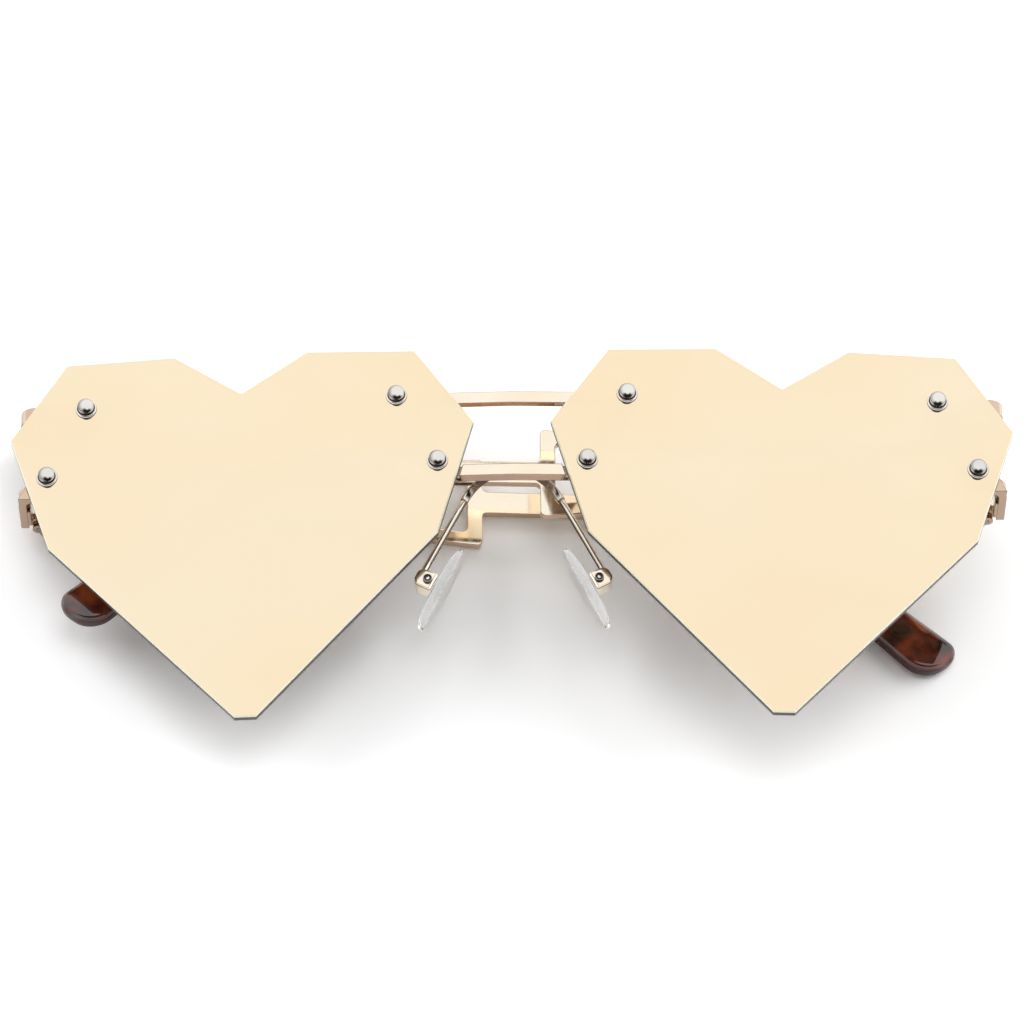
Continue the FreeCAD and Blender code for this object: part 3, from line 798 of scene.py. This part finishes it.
@dataclass
class TempleTips:
    """The two tortoise tips. Lengths along the temple from its hinge, in millimetres, angles in degrees."""

    finishes: Finishes
    fold_left: float = 93.0
    fold_right: float = 85.0
    offset: float = 2.2
    start: float = 95.0
    bend_start: float = 99.5
    bend_radius: float = 22.0
    drop_angle: float = 41.0
    drop_length: float = 31.2
    thickness: float = 3.2
    start_width: float = 4.9
    end_width: float = 7.6
    round_top: float = 2.2
    round_low: float = 5.0
    edge_round: float = 1.15
    least_half: float = 0.06
    rim_gain: float = 2.2
    rim_end: float = 0.6
    body_sections: int = 48
    end_sections: int = 18
    corner_points: int = 10
    crease: float = 50.0

    def lengths(self) -> Points:
        """Distances along the middle line at which sections stand, closer together round the end."""
        bend = self.bend_radius * math.radians(self.drop_angle)
        body = self.bend_start - self.start + bend + self.drop_length - self.round_low
        swing = np.linspace(0, QUARTER, self.end_sections)[1:]
        straight = np.linspace(0, body, self.body_sections)
        return np.concatenate((straight, body + self.round_low * np.sin(swing)))

    def middle_line(self, along: Points) -> tuple[Points, Points]:
        """Middle line of the tip: straight, then an arc, then the straight drop.

        Args:
            along: Distances along the line.

        Returns:
            Points as (along the temple, up), and the upward normal at each.
        """
        full = math.radians(self.drop_angle)
        lead = self.bend_start - self.start
        bent = np.clip((along - lead) / self.bend_radius, 0, full)
        rest = np.clip(along - lead - self.bend_radius * full, 0, None)
        forward = np.minimum(along, lead) + self.bend_radius * np.sin(bent) + rest * math.cos(full)
        upward = -self.bend_radius * (1 - np.cos(bent)) - rest * math.sin(full)
        return np.stack((self.start + forward, upward), 1), np.stack((np.sin(bent), np.cos(bent)), 1)

    def half_widths(self, along: Points) -> tuple[Points, Points]:
        """Widths above and below the middle line: widening on the drop, then round corners at the end."""
        drop = np.clip((along - (along[-1] - self.drop_length)) / self.drop_length, 0, 1)
        half = (self.start_width + (self.end_width - self.start_width) * drop) / 2

        def corner(radius: float) -> Points:
            past = np.clip(along - (along[-1] - radius), 0, radius)
            return radius - np.sqrt(radius ** 2 - past ** 2)

        return half - corner(self.round_top), half - corner(self.round_low)

    def skin(self, side: Side) -> tuple[RingStack, Points]:
        """Rectangle with round corners carried along the middle line.

        Args:
            side: Which temple.

        Returns:
            The tip's skin, and a value per point, 1 on the walls and end and 0 on the faces, that paints
            shade.
        """
        along = self.lengths()
        middle, normal = self.middle_line(along)
        top, low = self.half_widths(along)
        past = np.clip(along - (along[-1] - self.edge_round), 0, self.edge_round)
        depth = self.thickness / 2 - self.edge_round + np.sqrt(self.edge_round ** 2 - past ** 2)
        bent = (np.linspace(0, QUARTER, self.corner_points) + np.arange(4)[:, None] * QUARTER).ravel()
        up_sign = np.repeat([1.0, -1.0, -1.0, 1.0], self.corner_points)
        out_sign = np.repeat([1.0, 1.0, -1.0, -1.0], self.corner_points)
        half = np.maximum((top + low)[:, None] / 2, self.least_half)
        soft = np.minimum(np.minimum(half, depth[:, None]), self.edge_round)
        up_by = (top - low)[:, None] / 2 + up_sign * (half - soft) + soft * np.cos(bent)
        out_by = out_sign * (depth[:, None] - soft) + soft * np.sin(bent)
        flat = middle[:, None, :] + up_by[..., None] * normal[:, None, :]
        open_place = np.stack((self.offset + out_by, flat[..., 0], flat[..., 1]), axis=-1)
        fold = self.fold_left if side is Side.LEFT else self.fold_right
        folded = turned(open_place, fold) + FRONT.local(frame_joint("left_temple_hinge"))
        # 1 on the walls and near the end, where the finish paints shade.
        rim = np.clip(1 - self.rim_gain * (1 - np.abs(np.cos(bent))), 0, 1)
        end = np.clip((along - along[-1] + self.rim_end) / self.rim_end, 0, 1)[:, None]
        return RingStack(mirrored(folded, side)), np.maximum(rim, end)

    def build(self) -> None:
        """Make both tips."""
        for side in Side:
            skin, rim = self.skin(side)
            outfit = Outfit(f"tortoise_tip_{side.word}", Body(f"temple_{side.word}"), Slot.TIP,
                            (self.finishes.tortoise,), (f"temple_tip_{side.word}",), self.crease)
            make_piece(outfit, [skin], rim)


@dataclass
class NosePads:
    """Pads, clasps, clasp screws and wires on both sides of the nose, in millimetres and degrees."""

    finishes: Finishes
    centre: Triple = PAD_CENTRE
    splay: float = 27.0
    length: float = 14.4
    width: float = 8.2
    thickness: float = 1.8
    standoff: float = 1.35
    crown_power: float = 2.7
    crown_pole: float = 0.06
    crown_rings: int = 26
    oval_power: float = 2.15
    oval_points: int = 56
    taper: float = 0.07
    pad_crease: float = 60.0
    fixing_crease: float = 32.0
    clasp_half: float = 1.35
    clasp_mouth: float = 1.0
    clasp_web: float = 1.0
    clasp_back: float = 1.9
    clasp_depth: float = 1.6
    mouth_round: float = 0.2
    clasp_round: float = 1.0
    clasp_edge: float = 0.14
    clasp_flat: float = 0.30
    edge_middle: Span = (0.03, 0.05)
    face_plate: float = 0.5
    groove: float = 0.16
    groove_width: float = 0.14
    groove_slope: float = 0.03
    screw_head: float = 0.7
    screw_height: float = 0.45
    screw_sink: float = 0.02
    screw_steps: int = 40
    screw_shares: tuple[Span, ...] = (
        (1.0, 0.7), (0.97, 0.92), (0.92, 1.0), (0.86, 1.0), (0.82, 0.85), (0.80, 0.2), (0.48, 0.15),
        (0.46, 0.55), (0.38, 0.78), (0.20, 0.88), (0.05, 0.9))
    arm_root: Triple = (3.2, 2.4, -6.735)
    arm_knee: Triple = (6.2, 6.9, -6.735)
    arm_bend: float = 3.0
    arm_end: float = 0.2
    bend_steps: int = 18
    blade_half: Span = (0.575, 0.4)
    blade_power: float = 5.0
    wire_radius: float = 0.5
    wire_start: float = 0.3
    wire_points: int = 32
    wire_crease: float = 40.0

    def placed(self, points: Points, side: Side) -> Points:
        """Carry points drawn about the pad screw (x down the pad, y back, z from the nose) to their side."""
        angle = math.radians(90 - self.splay)
        cos, sin = math.cos(angle), math.sin(angle)
        x, y, z = np.moveaxis(np.asarray(points, float), -1, 0)
        spun = np.stack((x * cos + z * sin, y, z * cos - x * sin), -1)
        return mirrored(spun + np.array(self.centre), side)

    def pad_skin(self, side: Side) -> RingStack:
        """Crowned oval: rings of a superellipsoid, a little wider at its lower end."""
        lat = np.linspace(self.crown_pole, math.pi - self.crown_pole, self.crown_rings)
        reach = np.sin(lat) ** (2 / self.crown_power)
        level = np.sign(np.cos(lat)) * np.abs(np.cos(lat)) ** (2 / self.crown_power)
        oval = superellipse(self.oval_points, self.oval_power)
        along = reach[:, None] * oval[:, 0] * self.length / 2
        wide = 1 - self.taper + self.taper * oval[:, 0]
        across = reach[:, None] * oval[:, 1] * wide * self.width / 2
        middle = -self.standoff - self.thickness / 2
        away = np.broadcast_to((middle - level * self.thickness / 2)[:, None], along.shape)
        return RingStack(self.placed(np.stack((along, across, away), axis=-1), side))

    def clasp_skin(self, side: Side) -> RingStack:
        """D-shaped outline carried back from the face plate, over a dark groove, to the rear edge."""
        half, mouth, back = self.clasp_half, -self.clasp_mouth, self.clasp_back
        outline = rounded_loop([(-half, mouth, self.mouth_round), (half, mouth, self.mouth_round),
                                (half, back, self.clasp_round), (-half, back, self.clasp_round)])
        face, rear, edge, flat = -self.clasp_depth, self.clasp_depth, self.clasp_edge, self.clasp_flat
        plate = face + self.face_plate
        behind = plate + self.groove_width
        levels = ((flat, face), (edge, face), (self.edge_middle[0], face + self.edge_middle[1]),
                  (0.0, face + edge), (0.0, plate - self.groove_slope), (self.groove, plate),
                  (self.groove, behind), (0.0, behind + self.groove_slope), (0.0, rear - edge), (edge, rear),
                  (flat, rear))
        # Painted shade in the groove behind the face plate.
        bands = (Band.PLAIN,) * 4 + (Band.DARK,) * 3 + (Band.PLAIN,) * 3
        return RingStack(self.placed(stepped_rings(outline, levels), side), bands)

    def screw_skin(self, side: Side) -> RingStack:
        """Screw head: a rim round a sunk ring with a round middle, spun about the screw's axis."""
        shares = np.array(self.screw_shares) * (self.screw_head, self.screw_height)
        profile = np.concatenate(([[self.screw_head, -self.screw_sink]], shares))
        rings = spun_rings(profile, self.screw_steps) - np.array([0.0, self.clasp_depth, 0.0])
        # Painted shade on the rim's outer side and in the sunk ring.
        bands = (Band.DARK,) * 2 + (Band.PLAIN,) * 3 + (Band.DARK,) * 3 + (Band.PLAIN,) * 3
        return RingStack(self.placed(rings, side), bands)

    def wire_skin(self, side: Side) -> RingStack:
        """Flat blade from behind the lower bar, bent down and drawn into a round wire, carried to the clasp.

        The path is straight, an arc tangent to both runs, and straight; the section is a superellipse whose
        half sizes and power go over from the blade's to the wire's just past the arc.
        """
        root, knee = np.array(self.arm_root), np.array(self.arm_knee)
        web = (self.clasp_web + self.clasp_back) / 2
        goal = self.placed(np.array([self.arm_end - self.clasp_half, 0.0, web]), Side.LEFT)
        bend = tangent_arc(root, knee, goal, self.arm_bend, self.bend_steps)
        first = root + (bend[0] - root) * np.linspace(0, 1, 6)[:-1, None]
        # Sections stand close together where the blade becomes a wire.
        shares = np.concatenate((np.linspace(0.004, 0.04, 6), np.linspace(0.1, 1, 12)))
        last = bend[-1] + (goal - bend[-1]) * shares[:, None]
        path = np.concatenate((first, bend, last))
        wide = unit(np.cross(root - knee, goal - knee))
        deep = np.cross(unit(np.gradient(path, axis=0)), wide)
        step = np.concatenate(([0.0], np.cumsum(np.linalg.norm(np.diff(path, axis=0), axis=1))))
        past = np.clip((step - step[len(first) + len(bend) - 1]) / self.wire_start, 0, 1)
        ease = (past * past * (3 - 2 * past))[:, None]
        blade, wire = (superellipse(self.wire_points, power) for power in (self.blade_power, 2.0))
        half = np.array(self.blade_half)
        half = half + (self.wire_radius - half) * ease
        section = half[:, None, :] * (blade + (wire - blade) * ease[..., None])
        rings = path[:, None, :] + section[..., :1] * wide + section[..., 1:] * deep[:, None, :]
        return RingStack(mirrored(rings, side))

    def build(self) -> None:
        """Make the pads, clasps, screws and wires."""
        made = self.finishes
        # The clasps' grooves and the screws' sunk rings take the dark finish that paints shade.
        gold, silver = (made.gold, made.recess_shade), (made.silver, made.recess_shade)
        for side in Side:
            word = side.word
            outfit = Outfit(f"clear_pad_{word}", Body(f"pad_{word}"), Slot.PAD, (made.clear_pad,),
                            (f"nose_pad_{word}",), self.pad_crease)
            pad = make_piece(outfit, [self.pad_skin(side)])
            for name, node, slot, dress, skin, crease in (
                    ("pad_clasp", "pad_box", Slot.METAL, gold, self.clasp_skin, self.fixing_crease),
                    ("clasp_screw", "pad_screw", Slot.SILVER, silver, self.screw_skin, self.fixing_crease),
                    ("pad_wire", "pad_arm", Slot.METAL, (made.wire,), self.wire_skin, self.wire_crease)):
                outfit = Outfit(f"{name}_{word}", Body.FRONT, slot, dress, (f"{node}_{word}",), crease)
                make_piece(outfit, [skin(side)])


@dataclass
class FrameMetal:
    """The solids that keep their shape, with their finishes."""

    finishes: Finishes
    gold_nodes: tuple[str, ...] = ("bridge", "temple_arm_left", "temple_arm_right")
    hinge_nodes: tuple[str, ...] = (
        "endpiece_left", "endpiece_right", "endpiece_knuckles_left", "endpiece_knuckles_right",
        "temple_knuckles_left", "temple_knuckles_right")
    silver_nodes: tuple[str, ...] = ("lens_nuts", "hinge_screws_left", "hinge_screws_right")
    bush_nodes: tuple[str, ...] = ("lens_bushes",)
    core_nodes: tuple[str, ...] = ("pad_insert_left", "pad_insert_right")

    def build(self) -> None:
        """Dress the metal, the bushes and the pads' cores."""
        made = self.finishes
        # The endpieces and knuckles get the darker gold that paints their shade.
        dresses = ((self.gold_nodes, made.plate_gold), (self.hinge_nodes, made.shaded_hinge_gold),
                   (self.silver_nodes, made.silver), (self.bush_nodes, made.clear_bush),
                   (self.core_nodes, made.clear_core))
        for names, finish in dresses:
            for name in names:
                materials = frame["nodes"][name].data.materials
                materials.clear()
                materials.append(finish)
                LOG.info("%s: dressed with %s", name, finish.name)


@dataclass(frozen=True)
class SoftLamp:
    """Square lamp that shines at the glasses, in metres and watts."""

    name: str
    place: Triple
    size: float
    watts: float

    def build(self) -> None:
        """Hang the lamp, hidden from gloss."""
        data = bpy.data.lights.new(self.name, "AREA")
        data.energy = self.watts
        data.size = self.size
        lamp = add_object(self.name, data)
        lamp.location = self.place
        lamp.rotation_euler = (-Vector(self.place)).to_track_quat("-Z", "Y").to_euler()
        lamp.visible_glossy = False


@dataclass
class Studio:
    """White studio: a pale floor, soft lamps, and a dark card that only gloss shows. Metres and degrees."""

    floor_size: float = 6.0
    floor_gap: float = 0.05 * MM
    floor_tone: Colour = (0.75, 0.755, 0.76)
    floor_seen: Colour = (1.195, 1.20, 1.205)
    floor_fade: Span = (0.14, 0.40)
    ambient: float = 0.34
    lamps: tuple[SoftLamp, ...] = (
        SoftLamp("side_lamp_left", (0.75, 0.30, 0.70), 0.9, 6.0),
        SoftLamp("side_lamp_right", (-0.75, 0.30, 0.70), 0.9, 6.0),
        SoftLamp("top_lamp", (0.0, 0.0, 1.0), 0.5, 2.4))
    card_radius: float = 0.9
    card_rise: Span = (34.0, 76.0)
    card_swing: float = 86.0
    card_tone: Colour = (0.03, 0.027, 0.024)
    card_grid: tuple[int, int] = (17, 41)
    card_fade: Triple = (6.0, 3.5, 2.5)

    def make_world(self) -> None:
        """White where it is seen, and a softer light where it only lights."""
        world = bpy.data.worlds.new("white_studio")
        world.use_nodes = True
        bench = NodeBench(world.node_tree)
        background = bench.tree.nodes["Background"]
        background.inputs["Color"].default_value = WHITE
        level = bench.mapped(bench.background_rays(), WHOLE, (self.ambient, 1.0))
        bench.link(level, background.inputs["Strength"])
        bpy.context.scene.world = world

    def staged(self, name: str, points: Points, faces: list[list[int]], finish: Material) -> bpy.types.Object:
        """Mesh that belongs to the studio and not to the glasses."""
        mesh = bpy.data.meshes.new(name)
        mesh.from_pydata(points.tolist(), [], faces)
        mesh.materials.append(finish)
        made = add_object(name, mesh)
        return made

    def floor_finish(self) -> Material:
        """Matt floor, paler where it is seen, that keeps the shadow and goes over to white further out."""
        shader = Shader("studio_floor")
        matt = shader.node("ShaderNodeBsdfDiffuse", Color=(*self.floor_tone, 1.0))
        pale = shader.node("ShaderNodeBsdfDiffuse", Color=(*self.floor_seen, 1.0))
        white = shader.node("ShaderNodeEmission", Color=WHITE, Strength=1.0)
        place = shader.node("ShaderNodeTexCoord")
        reach = shader.node("ShaderNodeVectorMath", operation="LENGTH")
        shader.link(place.outputs["Object"], reach.inputs[0])
        far = shader.mapped(reach.outputs["Value"], self.floor_fade)
        seen = shader.blended(far, pale.outputs["BSDF"], white.outputs["Emission"])
        shader.show(shader.blended(shader.background_rays(), matt.outputs["BSDF"], seen))
        return shader.material

    def make_floor(self) -> None:
        """Square floor just under the part."""
        square = np.array([(-1, -1), (1, -1), (1, 1), (-1, 1)]) * self.floor_size / 2
        corners = np.insert(square, 2, CAD_BOX[0].z - self.floor_gap, axis=1)
        self.staged("floor", corners, [[0, 1, 2, 3]], self.floor_finish())

    def card_finish(self) -> Material:
        """Dark where the card's shade is 1, and nothing where it is 0."""
        shader = Shader("studio_card")
        dark = shader.node("ShaderNodeBsdfDiffuse", Color=(*self.card_tone, 1.0))
        nothing = shader.node("ShaderNodeBsdfTransparent")
        shade = shader.node("ShaderNodeAttribute", attribute_name="shade")
        shader.show(shader.blended(shade.outputs["Fac"], nothing.outputs["BSDF"], dark.outputs["BSDF"]))
        return shader.material

    def make_card(self) -> None:
        """Dark card that hangs in front of the glasses and is shown by gloss alone.

        It is part of a sphere: card_swing to both sides, and card_rise up from the floor. Its shade is 1 in
        the middle and fades to 0 at the lower side, the upper side and both ends, as fast as card_fade says.
        """
        rows, columns = self.card_grid
        up, along = np.linspace(0, 1, rows)[:, None], np.linspace(-1, 1, columns)
        rise = np.radians(self.card_rise[0] + up * (self.card_rise[1] - self.card_rise[0]))
        turn = np.radians(along * self.card_swing)
        height = np.broadcast_to(np.sin(rise), (rows, columns))
        sheet = np.stack((np.cos(rise) * np.sin(turn), -np.cos(rise) * np.cos(turn), height), -1)
        index = np.arange(rows * columns).reshape(rows, columns)
        faces = np.stack((index[:-1, :-1], index[:-1, 1:], index[1:, 1:], index[1:, :-1]), -1)
        card = self.staged("studio_card", sheet.reshape(-1, 3) * self.card_radius,
                           faces.reshape(-1, 4).tolist(), self.card_finish())
        low, high, ends = self.card_fade
        shade = np.clip(up * low, 0, 1) * np.clip((1 - up) * high, 0, 1)
        add_values(card.data, "shade", shade * np.clip((1 - np.abs(along)) * ends, 0, 1))
        for kind in ("camera", "diffuse", "transmission", "volume_scatter", "shadow"):
            setattr(card, f"visible_{kind}", False)

    def build(self) -> None:
        """Set up the studio."""
        self.make_world()
        self.make_floor()
        self.make_card()
        for lamp in self.lamps:
            lamp.build()


@dataclass(frozen=True)
class PhotoCamera:
    """Camera at the photograph's viewing angle, in the front's frame. Millimetres, degrees and pixels."""

    tilt: float = 28.0
    yaw: float = 0.099
    roll: float = -0.493
    distance: float = 1000.0
    aim_across: float = -0.125
    aim_up: float = -12.751
    pixels_per_mm: float = 6.667
    picture: int = 1024
    sensor: float = 36.0
    clip_metres: Span = (0.05, 20.0)

    def build(self) -> None:
        """Make the scene's camera from its right, up and forward directions."""
        tilt, yaw, roll = (math.radians(angle) for angle in (self.tilt, self.yaw, self.roll))
        level = np.array([math.cos(yaw), -math.sin(yaw) * math.cos(tilt), -math.sin(yaw) * math.sin(tilt)])
        forward = np.array([math.sin(yaw), math.cos(yaw) * math.cos(tilt), math.cos(yaw) * math.sin(tilt)])
        lift = np.array([0.0, -math.sin(tilt), math.cos(tilt)])
        place = -self.distance * forward + self.aim_across * level + self.aim_up * lift
        right = math.cos(roll) * level + math.sin(roll) * lift
        up = math.cos(roll) * lift - math.sin(roll) * level
        data = bpy.data.cameras.new("photo_camera")
        data.sensor_width = self.sensor
        data.lens = self.sensor * self.pixels_per_mm * self.distance / self.picture
        data.clip_start, data.clip_end = self.clip_metres
        camera = add_object("photo_camera", data)
        matrix = np.eye(4)
        matrix[:3, :3] = (np.stack((right, up, -forward)) @ FRONT.axes).T
        matrix[:3, 3] = FRONT.place(place)
        camera.matrix_world = Matrix(matrix.tolist())
        bpy.context.scene.camera = camera


def main() -> None:
    """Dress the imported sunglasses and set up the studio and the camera."""
    logging.basicConfig(level=logging.INFO, format="%(name)s: %(message)s")
    bpy.context.scene.view_settings.view_transform = "Standard"
    finishes = Finishes()
    for part in (FrameMetal(finishes), HeartLenses(finishes), TempleTips(finishes), NosePads(finishes)):
        part.build()
    Studio().build()
    PhotoCamera().build()


if __name__ == "__main__":
    main()
